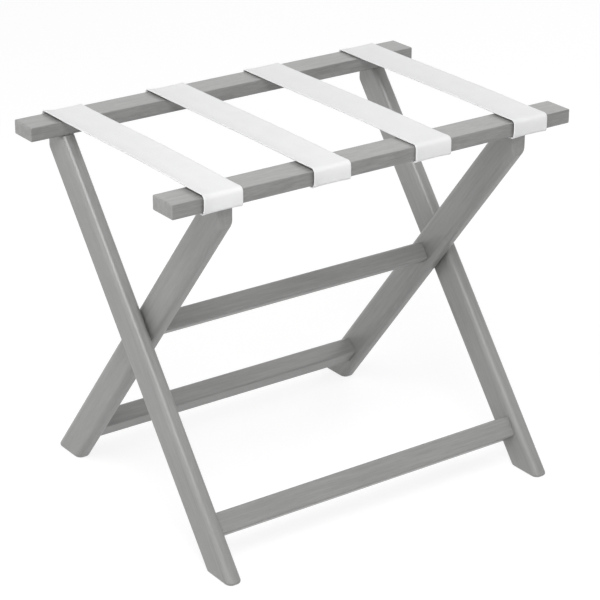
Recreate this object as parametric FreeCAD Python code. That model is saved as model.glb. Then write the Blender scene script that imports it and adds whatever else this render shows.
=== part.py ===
import FreeCAD, Part
import math
import os

# Folding hotel luggage bench: two crossed wooden frames that hinge on one bar, and
# four webbing straps stretched between the two top rails.
# Millimetres. +X runs along the rails, +Y towards the rear rail, +Z up, floor at z = 0.

# Whole bench
seat_height = 500.0
rack_depth = 372.0
pivot_height = 259.5

# Rails
rail_length = 608.0
rail_width = 43.0
rail_thickness = 19.0
rail_edge_radius = 1.5

# Legs
leg_width = 45.0
leg_thickness = 22.0
leg_edge_radius = 8.5
leg_end_radius = 3.0
leg_set_back = 7.0
leg_line_inset = 11.7
leg_overhang = 44.1
leg_side_gap = 0.8

# Stretchers and the hinge bar
stretcher_depth = 29.0
stretcher_width = 26.0
stretcher_height = 50.3
pivot_bar_depth = 25.4
pivot_bar_width = 19.0
bar_edge_radius = 3.0

# Webbing
strap_width = 57.0
strap_thickness = 2.0
strap_tail = 30.0
strap_count = 4
end_strap_inset = 68.0

# Clearances
side_clearance = 0.3
soft_clearance = 0.3
running_clearance = 0.05

# Pivot hardware
shank_diameter = 8.0
bolt_head_diameter = 13.0
bolt_head_height = 4.0
socket_across_flats = 5.0
socket_depth = 2.5
head_clearance = 0.5
plug_length = 5.0
thread_diameter = 6.0
thread_length = 14.0
insert_diameter = 10.0
insert_length = 15.0
washer_diameter = 22.0

# Rail screws
screw_diameter = 4.0
screw_head_diameter = 8.0
screw_length = 45.0
screw_pitch = 14.0

# Dowels
dowel_diameter = 6.0
dowel_in_leg = 14.0
dowel_in_stretcher = 22.0
dowel_pitch = 14.0

# Staples
staple_crown = 10.0
staple_wire_width = 1.2
staple_wire_thickness = 0.8
staple_bite = 10.0
staple_from_face = 20.0
staple_half_pitch = 14.0
staple_narrow_half_pitch = 6.5

# Derived places
rail_under = seat_height - rail_thickness
rail_outer = rack_depth / 2
rail_inner = rail_outer - rail_width
lean = math.atan2(rail_outer - leg_line_inset, rail_under - pivot_height)
leg_half_run = leg_width / 2 / math.cos(lean)
leg_trim = rail_outer - leg_set_back
outer_leg_out = rail_length / 2 - leg_overhang
outer_leg_in = outer_leg_out - leg_thickness
inner_leg_out = outer_leg_in - leg_side_gap
inner_leg_in = inner_leg_out - leg_thickness
pivot_bar_end = inner_leg_in - side_clearance
stretcher_reach = (pivot_height - stretcher_height) / math.cos(lean)

X_AXIS = FreeCAD.Vector(1, 0, 0)
Z_AXIS = FreeCAD.Vector(0, 0, 1)
PIVOT = FreeCAD.Vector(0, 0, pivot_height)
REAR = 1
FRONT = -1
SIDES = (("left", -1), ("right", 1))

parts = {}


def point(y, z, x=0.0):
    return FreeCAD.Vector(x, y, z)


def rounded_wire(corners):
    """Closed outline in the YZ plane. Each corner is (y, z, radius); radius 0 is sharp."""
    spots = [point(y, z) for y, z, radius in corners]
    starts = []
    ends = []
    middles = []
    for i, (y, z, radius) in enumerate(corners):
        here = spots[i]
        back = (spots[i - 1] - here).normalize()
        ahead = (spots[(i + 1) % len(spots)] - here).normalize()
        if radius <= 0:
            starts.append(here)
            ends.append(here)
            middles.append(None)
            continue
        half = back.getAngle(ahead) / 2
        run = radius / math.tan(half)
        inward = (back + ahead).normalize()
        starts.append(here + back * run)
        ends.append(here + ahead * run)
        middles.append(here + inward * (radius / math.sin(half) - radius))
    edges = []
    for i in range(len(corners)):
        if middles[i] is not None:
            edges.append(Part.Arc(starts[i], middles[i], ends[i]).toShape())
        following = starts[(i + 1) % len(corners)]
        edges.append(Part.makeLine(ends[i], following))
    return Part.Wire(edges)


def slab(corners, x_low, x_high):
    """The YZ outline run along X between the two places."""
    face = Part.Face(rounded_wire(corners))
    face.translate(X_AXIS * x_low)
    return face.extrude(X_AXIS * (x_high - x_low))


def box(x_low, x_high, y_low, y_high, z_low, z_high):
    corner = FreeCAD.Vector(x_low, y_low, z_low)
    return Part.makeBox(x_high - x_low, y_high - y_low, z_high - z_low, corner)


def rod(diameter, x_from, x_to, y, z):
    """A round bar along X between the two places, in either order."""
    low = min(x_from, x_to)
    return Part.makeCylinder(diameter / 2, abs(x_to - x_from), point(y, z, low), X_AXIS)


def drill(body, tools):
    for tool in tools:
        body = body.cut(tool)
    return body


def edge_y(side, z, offset):
    """Where a leg's centre line (offset 0) or one of its long edges (-1, 1) is at height z."""
    return side * ((z - pivot_height) * math.tan(lean) + offset * leg_half_run)


def leg_top_inner(side):
    return edge_y(side, rail_under, -1)


# ---- wood ---------------------------------------------------------------------------

def rail(side):
    middle = side * (rail_outer - rail_width / 2)
    half = rail_width / 2
    blank = box(-rail_length / 2, rail_length / 2, middle - half, middle + half,
                rail_under, seat_height)
    return blank.makeFillet(rail_edge_radius, blank.Edges)


def leg(side, x_low, x_high):
    """A round-edged board, its top under the rail of this side and its foot on the other."""
    reach = seat_height / math.cos(lean)
    half = leg_width / 2
    board = box(x_low, x_high, -half, half, pivot_height - reach, pivot_height + reach)
    long_edges = [edge for edge in board.Edges if edge.BoundBox.ZLength > reach]
    board = board.makeFillet(leg_edge_radius, long_edges)
    board.rotate(PIVOT, X_AXIS, -side * math.degrees(lean))
    trimmed = sorted((-side * rack_depth, side * leg_trim))
    board = board.common(box(x_low - 1, x_high + 1, *trimmed, 0, rail_under))
    ends = []
    for edge in board.Edges:
        bounds = edge.optimalBoundingBox()
        at_sole = bounds.ZMax < 0.01
        at_trim = bounds.YLength < 0.01 and abs(bounds.YMax - side * leg_trim) < 0.01
        if at_sole or (at_trim and bounds.ZMin < rail_under - 0.01):
            ends.append(edge)
    return board.makeFillet(leg_end_radius, ends)


def leaning_bar(side, reach, depth, width, half_length):
    """A bar along X. Depth lies along the legs of this side, reach is measured down them."""
    low = pivot_height - reach - depth / 2
    bar = box(-half_length, half_length, -width / 2, width / 2, low, low + depth)
    long_edges = [edge for edge in bar.Edges if edge.BoundBox.XLength > half_length]
    bar = bar.makeFillet(bar_edge_radius, long_edges)
    bar.rotate(PIVOT, X_AXIS, -side * math.degrees(lean))
    return bar


def stretcher_place(side, along):
    """Centre of a stretcher, moved along the leg by the given distance."""
    run = along - stretcher_reach
    return side * run * math.sin(lean), pivot_height + run * math.cos(lean)


# ---- hidden fixings -----------------------------------------------------------------

def screw_places(side, leg_x):
    middle = (leg_top_inner(side) + side * leg_trim) / 2
    for sign in (-1, 1):
        for step in (-0.5, 0.5):
            yield sign * leg_x, middle + step * screw_pitch


def rail_screw(x, y):
    head = (screw_head_diameter - screw_diameter) / 2
    point_length = screw_diameter
    radius = screw_diameter / 2
    shank_low = seat_height - screw_length + point_length
    cone = Part.makeCone(radius, screw_head_diameter / 2, head,
                         point(y, seat_height - head, x), Z_AXIS)
    shank = Part.makeCylinder(radius, seat_height - head - shank_low,
                              point(y, shank_low, x), Z_AXIS)
    tip = Part.makeCone(0, radius, point_length,
                        point(y, shank_low - point_length, x), Z_AXIS)
    return cone.fuse([shank, tip]).removeSplitter()


def dowels(side, stretcher_end):
    pins = []
    for sign in (-1, 1):
        for step in (-0.5, 0.5):
            y, z = stretcher_place(side, step * dowel_pitch)
            inside = sign * (stretcher_end - dowel_in_stretcher)
            outside = sign * (stretcher_end + dowel_in_leg)
            pins.append(rod(dowel_diameter, inside, outside, y, z))
    return pins


def staple_middles(strap_x, leg_x):
    """Staples sit either side of the strap's middle, or beside the leg under the strap."""
    half = strap_width / 2
    low = strap_x - half
    high = strap_x + half
    leg_low = leg_x - leg_thickness / 2
    leg_high = leg_x + leg_thickness / 2
    if leg_high < low or leg_low > high:
        return [strap_x - staple_half_pitch, strap_x + staple_half_pitch]
    if leg_low - low > high - leg_high:
        middle = (low + leg_low) / 2
    else:
        middle = (high + leg_high) / 2
    return [middle - staple_narrow_half_pitch, middle + staple_narrow_half_pitch]


def staple(side, x, drop, grow=0.0):
    """Crown across X, two legs up into the rail; grow makes the hole a loose one needs."""
    half = staple_crown / 2
    wide = staple_wire_width / 2 + grow
    y = side * (rail_outer - staple_from_face)
    crown_top = rail_under - strap_thickness - drop
    crown = box(x - half, x + half, y - wide, y + wide,
                crown_top - staple_wire_thickness, crown_top)
    pieces = []
    for sign in (-1, 1):
        outer = x + sign * (half + grow)
        inner = x + sign * (half - staple_wire_thickness - grow)
        pieces.append(box(min(outer, inner), max(outer, inner), y - wide, y + wide,
                          crown_top - staple_wire_thickness / 2, rail_under + staple_bite))
    return crown.fuse(pieces).removeSplitter()


# ---- webbing ------------------------------------------------------------------------

def strap_outline():
    """One strap seen from its edge: tail, over the rear rail, across, over the front one."""
    loose = soft_clearance
    thick = strap_thickness
    tight_radius = rail_edge_radius
    loose_radius = rail_edge_radius + loose
    tail = rail_outer - strap_tail
    return [
        (tail, rail_under - thick, 0),
        (rail_outer + thick, rail_under - thick, tight_radius + thick),
        (rail_outer + thick, seat_height + thick, tight_radius + thick),
        (rail_inner, seat_height + thick, 0),
        (-rail_inner, seat_height + loose + thick, 0),
        (-rail_outer - loose - thick, seat_height + loose + thick, loose_radius + thick),
        (-rail_outer - loose - thick, rail_under - loose - thick, loose_radius + thick),
        (-tail, rail_under - loose - thick, 0),
        (-tail, rail_under - loose, 0),
        (-rail_outer - loose, rail_under - loose, loose_radius),
        (-rail_outer - loose, seat_height + loose, loose_radius),
        (-rail_inner, seat_height + loose, 0),
        (rail_inner, seat_height, 0),
        (rail_outer, seat_height, tight_radius),
        (rail_outer, rail_under, tight_radius),
        (tail, rail_under, 0),
    ]


def tail_notch(side, leg_x):
    """Room in a strap's tail for the top of a leg."""
    half = leg_thickness / 2 + soft_clearance
    inner = side * (rail_inner - strap_tail)
    outer = side * (leg_trim + soft_clearance)
    return box(leg_x - half, leg_x + half, min(inner, outer), max(inner, outer),
               rail_under - 4 * strap_thickness, rail_under + soft_clearance / 2)


# ---- assembly -----------------------------------------------------------------------

outer_leg_middle = outer_leg_out - leg_thickness / 2
inner_leg_middle = inner_leg_out - leg_thickness / 2
end_strap = rail_length / 2 - end_strap_inset
strap_step = 2 * end_strap / (strap_count - 1)
strap_places = [-end_strap + strap_step * i for i in range(strap_count)]

rear_screws = [rail_screw(x, y) for x, y in screw_places(REAR, outer_leg_middle)]
front_screws = [rail_screw(x, y) for x, y in screw_places(FRONT, inner_leg_middle)]
front_stretcher_pins = dowels(REAR, outer_leg_in)
rear_stretcher_pins = dowels(FRONT, inner_leg_in)


def leg_beside(strap_x, middle):
    return math.copysign(middle, strap_x)


rear_staples = []
front_staples = []
front_strap_holes = []
for strap_x in strap_places:
    for x in staple_middles(strap_x, leg_beside(strap_x, outer_leg_middle)):
        rear_staples.append(staple(REAR, x, 0))
    for x in staple_middles(strap_x, leg_beside(strap_x, inner_leg_middle)):
        front_staples.append(staple(FRONT, x, 2 * soft_clearance))
        front_strap_holes.append(staple(FRONT, x, 2 * soft_clearance, soft_clearance))

parts["rear_rail"] = drill(rail(REAR), rear_screws + rear_staples)
parts["front_rail"] = drill(rail(FRONT), front_screws + front_staples)

counterbore = bolt_head_diameter + 2 * head_clearance
head_seat = outer_leg_out - plug_length - bolt_head_height
running_bore = shank_diameter + 2 * running_clearance

parts["pivot_bar"] = leaning_bar(REAR, 0, pivot_bar_depth, pivot_bar_width, pivot_bar_end)
front_stretcher = leaning_bar(REAR, stretcher_reach, stretcher_depth, stretcher_width,
                              outer_leg_in)
rear_stretcher = leaning_bar(FRONT, stretcher_reach, stretcher_depth, stretcher_width,
                             inner_leg_in)
parts["front_stretcher"] = drill(front_stretcher, front_stretcher_pins)
parts["rear_stretcher"] = drill(rear_stretcher, rear_stretcher_pins)

for name, sign in SIDES:
    def pivot_rod(diameter, start, end):
        return rod(diameter, sign * start, sign * end, 0, pivot_height)

    outer = leg(REAR, *sorted((sign * outer_leg_in, sign * outer_leg_out)))
    bores = [pivot_rod(shank_diameter, outer_leg_in - 1, outer_leg_out),
             pivot_rod(counterbore, head_seat, outer_leg_out + 1)]
    parts["outer_leg_" + name] = drill(outer, bores + rear_screws + front_stretcher_pins)

    inner = leg(FRONT, *sorted((sign * inner_leg_in, sign * inner_leg_out)))
    bores = [pivot_rod(running_bore, inner_leg_in - 1, inner_leg_out + 1)]
    parts["inner_leg_" + name] = drill(inner, bores + front_screws + rear_stretcher_pins)

    head = pivot_rod(bolt_head_diameter, head_seat, head_seat + bolt_head_height)
    shank = pivot_rod(shank_diameter, pivot_bar_end, head_seat)
    thread = pivot_rod(thread_diameter, pivot_bar_end - thread_length, pivot_bar_end)
    socket_face = sign * (head_seat + bolt_head_height)
    hexagon = Part.makePolygon([
        point(socket_across_flats / math.sqrt(3) * math.cos(math.radians(60 * i)),
              pivot_height
              + socket_across_flats / math.sqrt(3) * math.sin(math.radians(60 * i)),
              socket_face)
        for i in range(7)])
    socket = Part.Face(hexagon).extrude(X_AXIS * (-sign * socket_depth))
    bolt = head.fuse([shank, thread]).removeSplitter()
    parts["pivot_bolt_" + name] = bolt.cut(socket)
    parts["pivot_plug_" + name] = pivot_rod(counterbore, outer_leg_out - plug_length,
                                            outer_leg_out)

    insert_seat = pivot_rod(insert_diameter, pivot_bar_end - insert_length,
                            pivot_bar_end + 1)
    insert = pivot_rod(insert_diameter, pivot_bar_end - insert_length, pivot_bar_end)
    insert_bore = pivot_rod(thread_diameter, pivot_bar_end - insert_length - 1,
                            pivot_bar_end + 1)
    parts["pivot_bar"] = parts["pivot_bar"].cut(insert_seat)
    parts["threaded_insert_" + name] = insert.cut(insert_bore)

    washer = pivot_rod(washer_diameter, inner_leg_out + side_clearance, outer_leg_in)
    washer_bore = pivot_rod(shank_diameter, inner_leg_out, outer_leg_in + 1)
    parts["spacer_washer_" + name] = washer.cut(washer_bore)

for number, strap_x in enumerate(strap_places, start=1):
    strap = slab(strap_outline(), strap_x - strap_width / 2, strap_x + strap_width / 2)
    notches = [tail_notch(REAR, leg_beside(strap_x, outer_leg_middle)),
               tail_notch(FRONT, leg_beside(strap_x, inner_leg_middle))]
    parts["strap_%d" % number] = drill(strap, notches + rear_staples + front_strap_holes)

parts["rear_rail_screws"] = Part.makeCompound(rear_screws)
parts["front_rail_screws"] = Part.makeCompound(front_screws)
parts["front_stretcher_dowels"] = Part.makeCompound(front_stretcher_pins)
parts["rear_stretcher_dowels"] = Part.makeCompound(rear_stretcher_pins)
parts["rear_rail_staples"] = Part.makeCompound(rear_staples)
parts["front_rail_staples"] = Part.makeCompound(front_staples)

os.makedirs("parts", exist_ok=True)
for name, shape in parts.items():
    shape.exportStep("parts/" + name + ".step")
    print(name, shape.isValid(), len(shape.Solids), round(shape.Volume / 1000, 2))
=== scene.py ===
import math

import bpy
from mathutils import Matrix, Vector


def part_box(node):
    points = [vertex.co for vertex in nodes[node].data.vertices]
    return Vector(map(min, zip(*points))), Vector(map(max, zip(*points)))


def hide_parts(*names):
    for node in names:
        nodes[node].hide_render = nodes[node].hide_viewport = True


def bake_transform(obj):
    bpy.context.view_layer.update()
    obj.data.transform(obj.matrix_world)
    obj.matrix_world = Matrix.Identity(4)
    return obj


# Folding hotel luggage bench: grey stained wood frames with four white webbing straps.

MM = 0.001

# Webbing: a band of even thickness with round, slightly lifted selvedges.
WEB_THICKNESS = 2.0 * MM
WEB_TAIL = 30.0 * MM
WEB_GAP = 0.06 * MM
WEB_GAP_FRONT_UNDER = 0.3 * MM
WEB_EDGE_LIFT = 0.8 * MM
WEB_LIFT_RUN = 20.0 * MM
WEB_LIFT_FADE = 8.0 * MM
WEB_DRAWN_IN = 1.0 * MM
WEB_BEND = 2.2 * MM
WEB_OUTER_BEND = 6.4 * MM
WEB_BEND_RUN = 12.0 * MM
WEB_LANDING = 12.0 * MM
WEB_BOW_SKEW = 1.3
RAIL_EDGE = 1.5 * MM

# A strap's small wander from side to side: two waves, each with its share of the size,
# its radians per metre, and how far it is shifted from one strap to the next.
WEB_WANDER = 0.15 * MM
WANDER_WAVES = ((1.0, 17, 2.1), (0.6, 41, 4.7))

# How each strap lies: its bow between the rails, how far it sits to the right on the rear
# and the front rail, and how far its left selvedge stands off each of them.
LIE = {
    1: (1.6 * MM, 2.2 * MM, 0.8 * MM, 2.7 * MM, 2.8 * MM),
    2: (0.6 * MM, 0.6 * MM, 1.1 * MM, 2.1 * MM, 2.7 * MM),
    3: (1.4 * MM, -2.4 * MM, -0.9 * MM, 1.2 * MM, 1.0 * MM),
    4: (0.9 * MM, 2.2 * MM, -0.7 * MM, 1.2 * MM, 2.0 * MM),
}

# The notch in a tail round a leg's top: its room on each side, how far it runs past the
# leg's inner face, and how far the cutter reaches below the leg's top.
NOTCH_ROOM = 0.5 * MM
NOTCH_RUN = 20.0 * MM
NOTCH_DEPTH = 10.0 * MM

# The mesh of a strap: its step along the path, and its steps round a corner, across the
# band and round a selvedge.
PATH_STEP = 4.0 * MM
CORNER_STEPS = 10
ACROSS_STEPS = 18
SELVEDGE_STEPS = 6

# Directions in the (y, z) plane of a strap's path.
BACK, AHEAD = Vector((1, 0)), Vector((-1, 0))
UP, DOWN = Vector((0, 1)), Vector((0, -1))

# The camera: its bearing, height, roll, and its offset from a point above the floor.
CAMERA_AZIMUTH = math.radians(35.629)
CAMERA_ELEVATION = math.radians(23.369)
CAMERA_ROLL = math.radians(0.268)
CAMERA_FOCAL_PX = 2255.7
CAMERA_REACH = 100
IMAGE_PX = 600
SENSOR_MM = 36.0
CAMERA_OFFSET = (-8.34 * MM, 8.44 * MM, 2986.5 * MM)
CAMERA_TARGET = Vector((0, 0, 0.25))

# The lamps: place, width, height and power. They all face one point of the bench.
LAMP_TARGET = Vector((0, 0, 0.3))
LAMPS = {
    "high_front_left": ((-1.2, -1.4, 2.8), 1.6, 1.6, 61),
    "front": ((-0.6, -3.2, 1.2), 2.6, 1.6, 14.5),
    "left": ((-3.2, -0.3, 1.2), 2.4, 1.6, 12),
    "rear_left": ((-2.6, 2.4, 0.9), 2.2, 1.6, 21),
    "right_high": ((2.4, 0.4, 2.6), 1.8, 1.8, 20),
    "rear": ((1.9, 2.8, 1.7), 3.0, 1.6, 6.5),
}

# The world's strength as light. The eye sees it as white.
WORLD_LIGHT = 0.28

# The floor: the grey that lights things and, to the eye, a glow plus a grey that takes
# the bench's shadow.
FLOOR_SIZE = 60
FLOOR_BOUNCE = 0.82
FLOOR_GLOW = 0.82
FLOOR_SHADOW = 0.25

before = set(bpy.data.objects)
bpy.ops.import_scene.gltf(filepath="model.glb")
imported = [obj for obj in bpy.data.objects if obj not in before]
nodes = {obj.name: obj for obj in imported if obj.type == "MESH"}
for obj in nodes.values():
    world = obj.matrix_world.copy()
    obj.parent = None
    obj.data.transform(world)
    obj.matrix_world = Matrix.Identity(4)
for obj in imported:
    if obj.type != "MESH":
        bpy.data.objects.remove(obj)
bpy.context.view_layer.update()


# ---- node helpers -------------------------------------------------------------------

NOISE_LOW = 0.3
NOISE_HIGH = 0.7


def new_material(name):
    """A material, its node tree, and the Principled shader in it."""
    material = bpy.data.materials.new(name)
    material.use_nodes = True
    tree = material.node_tree
    return material, tree, tree.nodes["Principled BSDF"]


def mapped(tree, source, rotation, scale, shift):
    """Coordinates turned first, then stretched."""
    turn = tree.nodes.new("ShaderNodeMapping")
    turn.inputs["Rotation"].default_value = rotation
    turn.inputs["Location"].default_value = shift
    tree.links.new(source, turn.inputs["Vector"])
    stretch = tree.nodes.new("ShaderNodeMapping")
    stretch.inputs["Scale"].default_value = scale
    tree.links.new(turn.outputs["Vector"], stretch.inputs["Vector"])
    return stretch.outputs["Vector"]


def noise(tree, vector, scale, detail=3.0, roughness=0.5):
    """A noise texture's grey value, mostly between NOISE_LOW and NOISE_HIGH."""
    node = tree.nodes.new("ShaderNodeTexNoise")
    node.inputs["Scale"].default_value = scale
    node.inputs["Detail"].default_value = detail
    node.inputs["Roughness"].default_value = roughness
    tree.links.new(vector, node.inputs["Vector"])
    return node.outputs["Fac"]


def remap(tree, value, low, high, to_low, to_high):
    """A value taken from one range to another, and kept inside it."""
    node = tree.nodes.new("ShaderNodeMapRange")
    node.inputs["From Min"].default_value = low
    node.inputs["From Max"].default_value = high
    node.inputs["To Min"].default_value = to_low
    node.inputs["To Max"].default_value = to_high
    tree.links.new(value, node.inputs["Value"])
    return node.outputs["Result"]


def spread(tree, value, to_low, to_high):
    """A noise value taken to a range."""
    return remap(tree, value, NOISE_LOW, NOISE_HIGH, to_low, to_high)


def maths(tree, operation, a, b=None):
    """One math node on sockets or plain numbers."""
    node = tree.nodes.new("ShaderNodeMath")
    node.operation = operation
    for socket, value in zip(node.inputs, (a, b)):
        if value is None:
            continue
        if isinstance(value, (int, float)):
            socket.default_value = value
        else:
            tree.links.new(value, socket)
    return node.outputs["Value"]


def shade(tree, colour, factor):
    """A colour scaled by a grey factor from nodes."""
    node = tree.nodes.new("ShaderNodeVectorMath")
    node.operation = "SCALE"
    node.inputs[0].default_value = colour
    tree.links.new(factor, node.inputs["Scale"])
    return node.outputs["Vector"]


def bump(tree, height, strength, distance, shader):
    """Bumps a shader's surface by a height from nodes."""
    node = tree.nodes.new("ShaderNodeBump")
    node.inputs["Strength"].default_value = strength
    node.inputs["Distance"].default_value = distance
    tree.links.new(height, node.inputs["Height"])
    tree.links.new(node.outputs["Normal"], shader.inputs["Normal"])


# ---- materials ----------------------------------------------------------------------

WOOD_GREY = (0.25, 0.25, 0.244)
BEECH = (0.55, 0.40, 0.25)
WOOD_GLOSS = 0.85
WOOD_ROUGHNESS = 0.38
SMOOTHER = 0.03
ROUGHER = 0.04

# Each layer of the grain: its noise (scale, detail, roughness) and how far it moves the
# tone. A pore is where its noise passes a narrow band of values.
STREAKS, STREAK_TONE = (9.0, 4.0, 0.55), 0.09
FIBRES, FIBRE_TONE = (42.0, 3.0, 0.6), 0.06
CLOUD, CLOUD_TONE = (7.0, 2.0, 0.5), 0.03
PORES, PORE_TONE = (75.0, 2.0, 0.5), 0.18
PORE_LOW, PORE_HIGH = 0.66, 0.74
PORE_DEPTH = 0.6
BOARD_SHIFT = (0.37, 0.61, 0.83)
GRAIN_BUMP, GRAIN_HEIGHT = 0.25, 0.12 * MM

# The rails: stronger grain, painted shade that darkens their front and back faces, and the
# front rail a little lighter than the rear one.
RAIL_GRAIN = 1.8
RAIL_PAINTED_FACE_SHADE = 0.83
FRONT_RAIL_TONE = 1.05
# How squarely a face must look front or back to take the painted shade.
FACING_LOW, FACING_HIGH = 0.6, 0.9


def paint_face_shade(tree, tone, amount):
    """Painted shade: the tone taken down on a board's faces that look to the front or
    back.
    """
    split = tree.nodes.new("ShaderNodeSeparateXYZ")
    tree.links.new(tree.nodes.new("ShaderNodeTexCoord").outputs["Normal"],
                   split.inputs["Vector"])
    facing = maths(tree, "ABSOLUTE", split.outputs["Y"])
    painted_shade = remap(tree, facing, FACING_LOW, FACING_HIGH, 1.0, amount)
    return maths(tree, "MULTIPLY", tone, painted_shade)


def wood(name, colour, lean, grain_scale, seed, depth=1.0, face_shade=1.0):
    """Stained board: long streaks, fine fibres and a few short pores along the grain, and
    if asked, painted shade on its front- and back-facing faces.
    """
    material, tree, shader = new_material(name)
    source = tree.nodes.new("ShaderNodeTexCoord").outputs["Object"]
    shift = [step * seed for step in BOARD_SHIFT]
    along = mapped(tree, source, (lean, 0, 0), grain_scale, shift)
    streaks = noise(tree, along, *STREAKS)
    fibres = noise(tree, along, *FIBRES)
    pores = remap(tree, noise(tree, along, *PORES), PORE_LOW, PORE_HIGH, 0.0, 1.0)
    cloud = noise(tree, source, *CLOUD)
    tone = maths(tree, "ADD",
                 spread(tree, streaks, 1 - STREAK_TONE * depth, 1 + STREAK_TONE * depth),
                 spread(tree, fibres, -FIBRE_TONE * depth, FIBRE_TONE * depth))
    tone = maths(tree, "ADD", tone, spread(tree, cloud, -CLOUD_TONE, CLOUD_TONE))
    tone = maths(tree, "SUBTRACT", tone, maths(tree, "MULTIPLY", pores, PORE_TONE))
    # Painted shade on the board's faces that look to the front or back.
    if face_shade != 1.0:
        tone = paint_face_shade(tree, tone, face_shade)
    tree.links.new(shade(tree, colour, tone), shader.inputs["Base Color"])
    rough = spread(tree, streaks, WOOD_ROUGHNESS - SMOOTHER, WOOD_ROUGHNESS + ROUGHER)
    tree.links.new(rough, shader.inputs["Roughness"])
    shader.inputs["Specular IOR Level"].default_value = WOOD_GLOSS
    height = maths(tree, "SUBTRACT", fibres, maths(tree, "MULTIPLY", pores, PORE_DEPTH))
    bump(tree, height, GRAIN_BUMP, GRAIN_HEIGHT, shader)
    return material


# The weave: the width of a pair of ribs, the length of a pair of picks, the picks' height
# beside the ribs, and the tone from the weave's lows to its highs, with painted shade in
# its lows.
WEB_WHITE = (0.84, 0.84, 0.845)
RIB_PAIR = 2.4 * MM
PICK_PAIR = 1.5 * MM
PICK_HEIGHT = 0.45
WEAVE_HOLLOW_SHADE_TONE, WEAVE_HIGH_TONE = 0.95, 1.01
WEB_CLOUD, WEB_CLOUD_TONE = 30.0, 0.012
WEAVE_BUMP, WEAVE_HEIGHT = 0.35, 0.15 * MM


def webbing():
    """White flat-woven nylon: ribs along the band, crossed by fine picks, with painted
    shade in the weave's lows.
    """
    material, tree, shader = new_material("white_webbing")
    uv = tree.nodes.new("ShaderNodeUVMap")
    uv.uv_map = "band"
    split = tree.nodes.new("ShaderNodeSeparateXYZ")
    tree.links.new(uv.outputs["UV"], split.inputs["Vector"])
    rib = maths(tree, "MULTIPLY", split.outputs["X"], math.tau / RIB_PAIR)
    pick = maths(tree, "MULTIPLY", split.outputs["Y"], math.tau / PICK_PAIR)
    ribs = maths(tree, "SINE", rib)
    turned = maths(tree, "MULTIPLY", maths(tree, "SIGN", ribs), math.pi / 2)
    picks = maths(tree, "SINE", maths(tree, "ADD", pick, turned))
    height = maths(tree, "ADD", maths(tree, "ABSOLUTE", ribs),
                   maths(tree, "MULTIPLY", picks, PICK_HEIGHT))
    source = tree.nodes.new("ShaderNodeTexCoord").outputs["Object"]
    cloud = noise(tree, source, WEB_CLOUD)
    # The weave's lows are painted darker, as shade in its hollows.
    tone = maths(tree, "ADD",
                 remap(tree, height, -PICK_HEIGHT, 1 + PICK_HEIGHT,
                       WEAVE_HOLLOW_SHADE_TONE, WEAVE_HIGH_TONE),
                 spread(tree, cloud, -WEB_CLOUD_TONE, WEB_CLOUD_TONE))
    tree.links.new(shade(tree, WEB_WHITE, tone), shader.inputs["Base Color"])
    shader.inputs["Roughness"].default_value = 0.8
    shader.inputs["Sheen Weight"].default_value = 0.15
    shader.inputs["Specular IOR Level"].default_value = 0.3
    bump(tree, height, WEAVE_BUMP, WEAVE_HEIGHT, shader)
    return material


# The fittings: a colour, and how far noise moves its tone and its roughness.
ZINC = (0.62, 0.62, 0.63)
ZINC_TONES = (0.9, 1.05)
ZINC_ROUGHNESS = (0.28, 0.42)
ZINC_BUMP = 0.15
DRAWN_ALONG_X = (20, 400, 400)
DRAWN_MARKS = 6.0
NYLON = (0.8, 0.79, 0.76)
NYLON_TONES = (0.95, 1.03)
NYLON_BUMP = 0.1
NYLON_MOTTLE = 220.0
FITTING_HEIGHT = 0.05 * MM


def metal():
    """Zinc plate with faint drawing marks and uneven shine."""
    material, tree, shader = new_material("zinc_plated_steel")
    source = tree.nodes.new("ShaderNodeTexCoord").outputs["Object"]
    along = mapped(tree, source, (0, 0, 0), DRAWN_ALONG_X, (0, 0, 0))
    marks = noise(tree, along, DRAWN_MARKS)
    tree.links.new(shade(tree, ZINC, spread(tree, marks, *ZINC_TONES)),
                   shader.inputs["Base Color"])
    tree.links.new(spread(tree, marks, *ZINC_ROUGHNESS), shader.inputs["Roughness"])
    shader.inputs["Metallic"].default_value = 1.0
    bump(tree, marks, ZINC_BUMP, FITTING_HEIGHT, shader)
    return material


def nylon():
    """Moulded natural nylon, slightly mottled."""
    material, tree, shader = new_material("natural_nylon")
    source = tree.nodes.new("ShaderNodeTexCoord").outputs["Object"]
    mottle = noise(tree, source, NYLON_MOTTLE)
    tree.links.new(shade(tree, NYLON, spread(tree, mottle, *NYLON_TONES)),
                   shader.inputs["Base Color"])
    shader.inputs["Roughness"].default_value = 0.5
    bump(tree, mottle, NYLON_BUMP, FITTING_HEIGHT, shader)
    return material


# The lean of the legs, from the pivot up to where a leg's middle line meets the underside
# of its rail, which is the inset inside the rail's outer face.
LEG_LINE_INSET = 11.7 * MM
bolt_low, bolt_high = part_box("pivot_bolt_left")
pivot_height = (bolt_low.z + bolt_high.z) / 2
rear_low, rear_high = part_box("rear_rail")
front_low, front_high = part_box("front_rail")
lean = math.atan2(rear_high.y - LEG_LINE_INSET, rear_low.z - pivot_height)

# Each wooden piece: the turn that stands its grain along an axis, and how the grain's
# noise is stretched along that axis.
ALONG_X = (1.5, 28, 28)
ALONG_RAIL = (2.5, 20, 20)
ALONG_LEG = (28, 28, 1.5)
WOOD_PIECES = {
    "rear_rail": (0, ALONG_RAIL),
    "front_rail": (0, ALONG_RAIL),
    "outer_leg_left": (lean, ALONG_LEG),
    "outer_leg_right": (lean, ALONG_LEG),
    "inner_leg_left": (-lean, ALONG_LEG),
    "inner_leg_right": (-lean, ALONG_LEG),
    "front_stretcher": (lean, ALONG_X),
    "rear_stretcher": (-lean, ALONG_X),
    "pivot_bar": (lean, ALONG_X),
    "pivot_plug_left": (lean, ALONG_LEG),
    "pivot_plug_right": (lean, ALONG_LEG),
}


def dress(node, material):
    """Shows a CAD node in one material."""
    mesh = nodes[node].data
    mesh.materials.clear()
    mesh.materials.append(material)


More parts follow.
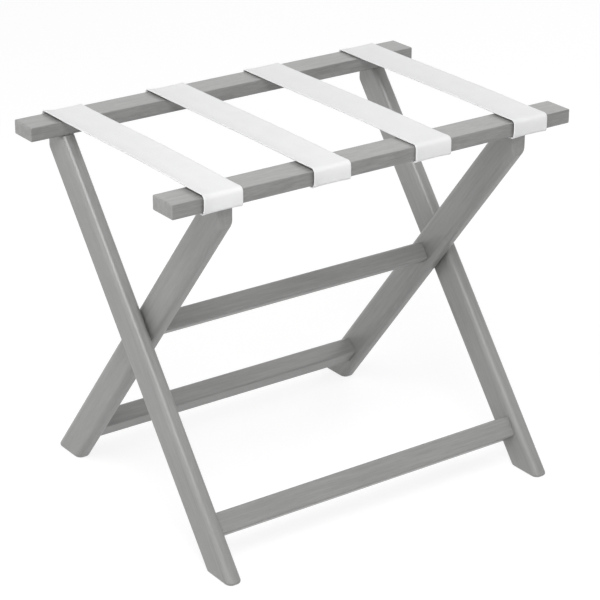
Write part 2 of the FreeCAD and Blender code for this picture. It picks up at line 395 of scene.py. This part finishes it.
for seed, (node, (turn, grain_scale)) in enumerate(WOOD_PIECES.items(), start=1):
    is_rail = grain_scale is ALONG_RAIL
    depth = RAIL_GRAIN if is_rail else 1.0
    # The rails get painted shade on their front- and back-facing faces.
    face_shade = RAIL_PAINTED_FACE_SHADE if is_rail else 1.0
    board = FRONT_RAIL_TONE if node == "front_rail" else 1.0
    colour = [board * channel for channel in WOOD_GREY]
    name = "grey_wood_" + node
    dress(node, wood(name, colour, turn, grain_scale, seed, depth, face_shade))

BEECH_SEED = 31
beech = wood("beech_dowel", BEECH, 0, ALONG_X, BEECH_SEED)
for node in ("front_stretcher_dowels", "rear_stretcher_dowels"):
    dress(node, beech)

zinc = metal()
for node in ("pivot_bolt_left", "pivot_bolt_right", "threaded_insert_left",
             "threaded_insert_right", "rear_rail_screws", "front_rail_screws",
             "rear_rail_staples", "front_rail_staples"):
    dress(node, zinc)

washer_nylon = nylon()
for node in ("spacer_washer_left", "spacer_washer_right"):
    dress(node, washer_nylon)


# ---- webbing straps -----------------------------------------------------------------

def straight(path, start, end, normal):
    """Adds points from start up to, not including, end."""
    count = max(1, round((end - start).length / PATH_STEP))
    for i in range(count):
        path.append((start.lerp(end, i / count), normal))


def corner(path, centre, radius, from_angle, to_angle):
    """Adds an arc about centre; angles are in the YZ plane from +Y."""
    for i in range(CORNER_STEPS):
        angle = from_angle + (to_angle - from_angle) * i / CORNER_STEPS
        normal = Vector((math.cos(angle), math.sin(angle)))
        path.append((centre + normal * radius, normal))


def smooth(value):
    """Eases from 0 to 1 as the value goes from 0 to 1."""
    value = min(1.0, max(0.0, value))
    return value * value * (3 - 2 * value)


def top_run(path, bow, stand, start_y, end_y):
    """The part over the rails: flat on the rear rail, bowed between the rails, and
    easing up to its stand-off before it turns down the front rail."""
    open_rear = rear_low.y
    open_front = front_high.y - WEB_LANDING
    count = round((start_y - end_y - WEB_OUTER_BEND) / PATH_STEP)
    steps = [start_y + (end_y + WEB_OUTER_BEND - start_y) * i / count
             for i in range(count)]
    steps += [end_y + WEB_OUTER_BEND * (1 - i / CORNER_STEPS)
              for i in range(CORNER_STEPS)]
    for y in steps:
        part = min(1.0, max(0.0, (open_rear - y) / (open_rear - open_front)))
        rise = bow * math.sin(math.pi * part ** WEB_BOW_SKEW)
        rise += (stand - WEB_GAP) * smooth(1 - (y - end_y) / WEB_BEND_RUN)
        path.append((Vector((y, rear_high.z + WEB_GAP + rise)), UP))


def front_run(path, stand, start_z, end_z):
    """Down the front rail's face, closing from the stand-off to the gap below."""
    count = round((start_z - end_z) / PATH_STEP)
    for i in range(count):
        part = i / count
        away = stand + (WEB_GAP_FRONT_UNDER - stand) * smooth(part)
        spot = Vector((front_low.y - away, start_z + (end_z - start_z) * part))
        path.append((spot, AHEAD))


def stand_off():
    """How far the bend's tighter inner face keeps a strap off the front rail."""
    return WEB_GAP + (WEB_BEND - RAIL_EDGE) * (1 - math.sqrt(0.5))


def pressed(spot, normal):
    """The thickness left where a strap is drawn round the front rail's upper edge, its
    outer face a wider round than its inner face."""
    reach = stand_off() + WEB_THICKNESS
    middle = Vector((front_low.y - reach + WEB_OUTER_BEND,
                     rear_high.z + reach - WEB_OUTER_BEND))
    offset = spot - middle
    along = offset.dot(normal)
    spread = along * along - offset.length_squared + WEB_OUTER_BEND ** 2
    if spread <= 0:
        return WEB_THICKNESS
    thickness = math.sqrt(spread) - along
    outer = spot + normal * thickness
    if outer.x < middle.x and outer.y > middle.y:
        return thickness
    return WEB_THICKNESS


def strap_path(bow):
    """The inner face of a strap as (y, z) points with outward normals, from the rear tail
    over the rear rail, across to the front rail, and down under it to the other tail."""
    top = rear_high.z
    under = rear_low.z
    rear = rear_high.y
    front = front_low.y
    stand = stand_off()
    bend = RAIL_EDGE + WEB_GAP
    low_bend = RAIL_EDGE + WEB_GAP_FRONT_UNDER
    rear_under = Vector((rear - RAIL_EDGE, under + RAIL_EDGE))
    rear_top = Vector((rear - RAIL_EDGE, top - RAIL_EDGE))
    front_turn = Vector((front - stand + WEB_BEND, top + stand - WEB_BEND))
    front_under = Vector((front + RAIL_EDGE, under + RAIL_EDGE))
    tail_start = Vector((front_under.x, under - WEB_GAP_FRONT_UNDER))
    tail_end = Vector((front + WEB_TAIL, under - WEB_GAP_FRONT_UNDER))
    path = []
    straight(path, Vector((rear - WEB_TAIL, under - WEB_GAP)),
             Vector((rear_under.x, under - WEB_GAP)), DOWN)
    corner(path, rear_under, bend, -math.pi / 2, 0)
    straight(path, Vector((rear + WEB_GAP, rear_under.y)),
             Vector((rear + WEB_GAP, rear_top.y)), BACK)
    corner(path, rear_top, bend, 0, math.pi / 2)
    top_run(path, bow, stand, rear - RAIL_EDGE, front_turn.x)
    corner(path, front_turn, WEB_BEND, math.pi / 2, math.pi)
    front_run(path, stand, front_turn.y, under + RAIL_EDGE)
    corner(path, front_under, low_bend, math.pi, 3 * math.pi / 2)
    straight(path, tail_start, tail_end, DOWN)
    path.append((tail_end, DOWN))
    return path


def section(width):
    """A strap's cross-section as (across, height) points in order round it."""
    half = width / 2
    radius = WEB_THICKNESS / 2
    flat = half - radius
    ring = []
    for side, face, from_angle in ((1, WEB_THICKNESS, math.pi / 2), (-1, 0, -math.pi / 2)):
        for i in range(ACROSS_STEPS):
            ring.append((side * (-flat + 2 * flat * i / ACROSS_STEPS), face))
        for i in range(SELVEDGE_STEPS):
            angle = from_angle - math.pi * i / SELVEDGE_STEPS
            ring.append((side * flat + radius * math.cos(angle),
                         radius + radius * math.sin(angle)))
    return ring


def side_drift(number, run, part):
    """How far a strap's middle stands to the right, part of the way along it."""
    _, rear_drift, front_drift, _, _ = LIE[number]
    drift = rear_drift + (front_drift - rear_drift) * part
    for share, waves, phase in WANDER_WAVES:
        drift += share * WEB_WANDER * math.sin(run * waves + number * phase)
    return drift


def left_stand(number, part, end_room):
    """How far a strap's left selvedge stands off, which its tails don't do."""
    _, _, _, rear_lift, front_lift = LIE[number]
    extra = rear_lift + (front_lift - rear_lift) * part - WEB_EDGE_LIFT
    return WEB_EDGE_LIFT + extra * smooth(end_room / WEB_LIFT_FADE)


def band_faces(rings, size):
    """The faces of a closed band of rings, with its two ends."""
    faces = []
    for i in range(rings - 1):
        for j in range(size):
            k = (j + 1) % size
            faces.append((i * size + j, i * size + k, (i + 1) * size + k,
                          (i + 1) * size + j))
    faces.append(tuple(range(size - 1, -1, -1)))
    faces.append(tuple((rings - 1) * size + j for j in range(size)))
    return faces


def strap(number):
    """One strap as a closed band, and its length along the middle of its thickness."""
    box_low, box_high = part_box("strap_%d" % number)
    middle = (box_low.x + box_high.x) / 2
    width = box_high.x - box_low.x - WEB_DRAWN_IN
    flat_part = width / 2 - WEB_LIFT_RUN
    path = strap_path(LIE[number][0])
    ring = section(width)
    size = len(ring)
    cores = [spot + normal * WEB_THICKNESS / 2 for spot, normal in path]
    runs = [0.0]
    for i in range(1, len(path)):
        runs.append(runs[-1] + (cores[i] - cores[i - 1]).length)
    verts = []
    for (spot, normal), run in zip(path, runs):
        part = run / runs[-1]
        end_room = min(run, runs[-1] - run) - WEB_TAIL
        left_lift = left_stand(number, part, end_room)
        drift = side_drift(number, run, part)
        squeeze = pressed(spot, normal) / WEB_THICKNESS
        for across, height in ring:
            edge = max(0.0, (abs(across) - flat_part) / WEB_LIFT_RUN)
            lift = (left_lift if across < 0 else WEB_EDGE_LIFT) * edge * edge
            place = spot + normal * (height * squeeze + lift)
            verts.append((middle + across + drift, place.x, place.y))
    mesh = bpy.data.meshes.new("webbing_%d" % number)
    mesh.from_pydata(verts, [], band_faces(len(path), size))
    layer = mesh.uv_layers.new(name="band")
    for polygon in mesh.polygons:
        polygon.use_smooth = True
        for loop in polygon.loop_indices:
            vertex = mesh.loops[loop].vertex_index
            layer.data[loop].uv = (ring[vertex % size][0], runs[vertex // size])
    mesh.update()
    obj = bpy.data.objects.new("webbing_%d" % number, mesh)
    bpy.context.scene.collection.objects.link(obj)
    return obj, runs[-1]


def cut_round(obj, leg):
    """Cuts a strap's tail clear of the top of a leg that stands under it."""
    leg_low, leg_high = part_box(leg)
    strap_low = min(v.co.x for v in obj.data.vertices)
    strap_high = max(v.co.x for v in obj.data.vertices)
    if leg_high.x < strap_low or leg_low.x > strap_high:
        return
    at_top = [v.co.y for v in nodes[leg].data.vertices if v.co.z > leg_high.z - MM]
    y_low = min(at_top)
    y_high = max(at_top)
    inward = NOTCH_RUN * (1 if y_high < 0 else -1)
    ends = sorted((y_low, y_high, (y_low if y_high > 0 else y_high) + inward))
    low = Vector((leg_low.x - NOTCH_ROOM, ends[0] - NOTCH_ROOM, leg_high.z - NOTCH_DEPTH))
    high = Vector((leg_high.x + NOTCH_ROOM, ends[-1] + NOTCH_ROOM, leg_high.z + MM))
    bpy.ops.mesh.primitive_cube_add(size=1)
    cutter = bpy.context.object
    cutter.matrix_world = Matrix.LocRotScale((low + high) / 2, None, high - low)
    modifier = obj.modifiers.new("notch", "BOOLEAN")
    modifier.object = cutter
    modifier.solver = "EXACT"
    graph = bpy.context.evaluated_depsgraph_get()
    cut = bpy.data.meshes.new_from_object(obj.evaluated_get(graph))
    obj.modifiers.clear()
    obj.data = cut
    bpy.data.objects.remove(cutter)


web_material = webbing()
for number in LIE:
    band, flat_length = strap(number)
    for leg in ("outer_leg_left", "outer_leg_right", "inner_leg_left", "inner_leg_right"):
        cut_round(band, leg)
    band.data.materials.clear()
    band.data.materials.append(web_material)
    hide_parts("strap_%d" % number)
    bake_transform(band)


# ---- floor, light and camera --------------------------------------------------------

def seen_directly(tree):
    """1 for camera, mirror and glass rays, 0 for the rays that light things."""
    path = tree.nodes.new("ShaderNodeLightPath")
    either = maths(tree, "MAXIMUM", path.outputs["Is Camera Ray"],
                   path.outputs["Is Glossy Ray"])
    return maths(tree, "MAXIMUM", either, path.outputs["Is Transmission Ray"])


def seen_and_lit(tree, as_light, as_seen, output):
    """One shader for the rays that light things and another for those that see it."""
    mix = tree.nodes.new("ShaderNodeMixShader")
    tree.links.new(seen_directly(tree), mix.inputs["Fac"])
    tree.links.new(as_light.outputs[0], mix.inputs[1])
    tree.links.new(as_seen.outputs[0], mix.inputs[2])
    tree.links.new(mix.outputs[0], output.inputs["Surface"])


def grey(level):
    """An even grey as a colour with its alpha."""
    return (level, level, level, 1)


def floor():
    """A wide white floor that keeps a light shadow of the bench."""
    bpy.ops.mesh.primitive_plane_add(size=FLOOR_SIZE)
    obj = bpy.context.object
    obj.name = "floor"
    material, tree, shader = new_material("white_floor")
    tree.nodes.remove(shader)
    bounce = tree.nodes.new("ShaderNodeBsdfDiffuse")
    bounce.inputs["Color"].default_value = grey(FLOOR_BOUNCE)
    shadow = tree.nodes.new("ShaderNodeBsdfDiffuse")
    shadow.inputs["Color"].default_value = grey(FLOOR_SHADOW)
    glow = tree.nodes.new("ShaderNodeEmission")
    glow.inputs["Strength"].default_value = FLOOR_GLOW
    look = tree.nodes.new("ShaderNodeAddShader")
    tree.links.new(shadow.outputs[0], look.inputs[0])
    tree.links.new(glow.outputs[0], look.inputs[1])
    seen_and_lit(tree, bounce, look, tree.nodes["Material Output"])
    obj.data.materials.append(material)


def surroundings():
    """White to the eye; an even, softer white as light."""
    world = bpy.data.worlds.new("studio")
    bpy.context.scene.world = world
    world.use_nodes = True
    tree = world.node_tree
    lighting = tree.nodes["Background"]
    lighting.inputs["Color"].default_value = grey(1)
    lighting.inputs["Strength"].default_value = WORLD_LIGHT
    seen = tree.nodes.new("ShaderNodeBackground")
    seen.inputs["Strength"].default_value = 1.0
    seen.inputs["Color"].default_value = grey(1)
    seen_and_lit(tree, lighting, seen, tree.nodes["World Output"])


def softbox(name, place, width, height, power):
    """A soft rectangular lamp facing the bench."""
    data = bpy.data.lights.new(name, "AREA")
    data.shape = "RECTANGLE"
    data.size = width
    data.size_y = height
    data.energy = power
    obj = bpy.data.objects.new(name, data)
    bpy.context.scene.collection.objects.link(obj)
    obj.location = place
    facing = LAMP_TARGET - obj.location
    obj.rotation_euler = facing.to_track_quat("-Z", "Y").to_euler()
    obj.visible_camera = False


def camera():
    """A long lens from the bench's front left, a little above it."""
    ahead = Vector((math.sin(CAMERA_AZIMUTH) * math.cos(CAMERA_ELEVATION),
                    math.cos(CAMERA_AZIMUTH) * math.cos(CAMERA_ELEVATION),
                    -math.sin(CAMERA_ELEVATION)))
    level = Vector((math.cos(CAMERA_AZIMUTH), -math.sin(CAMERA_AZIMUTH), 0))
    upright = level.cross(ahead)
    right = level * math.cos(CAMERA_ROLL) + upright * math.sin(CAMERA_ROLL)
    up = upright * math.cos(CAMERA_ROLL) - level * math.sin(CAMERA_ROLL)
    across, rise, away = CAMERA_OFFSET
    place = CAMERA_TARGET - right * across - up * rise - ahead * away
    data = bpy.data.cameras.new("camera")
    data.sensor_width = SENSOR_MM
    data.lens = CAMERA_FOCAL_PX * SENSOR_MM / IMAGE_PX
    data.clip_end = CAMERA_REACH
    obj = bpy.data.objects.new("camera", data)
    bpy.context.scene.collection.objects.link(obj)
    turn = Matrix((right, up, -ahead)).transposed().to_4x4()
    obj.matrix_world = Matrix.Translation(place) @ turn
    bpy.context.scene.camera = obj


floor()
surroundings()
for lamp, (place, width, height, power) in LAMPS.items():
    softbox(lamp, place, width, height, power)
camera()
bpy.context.scene.view_settings.view_transform = "Standard"
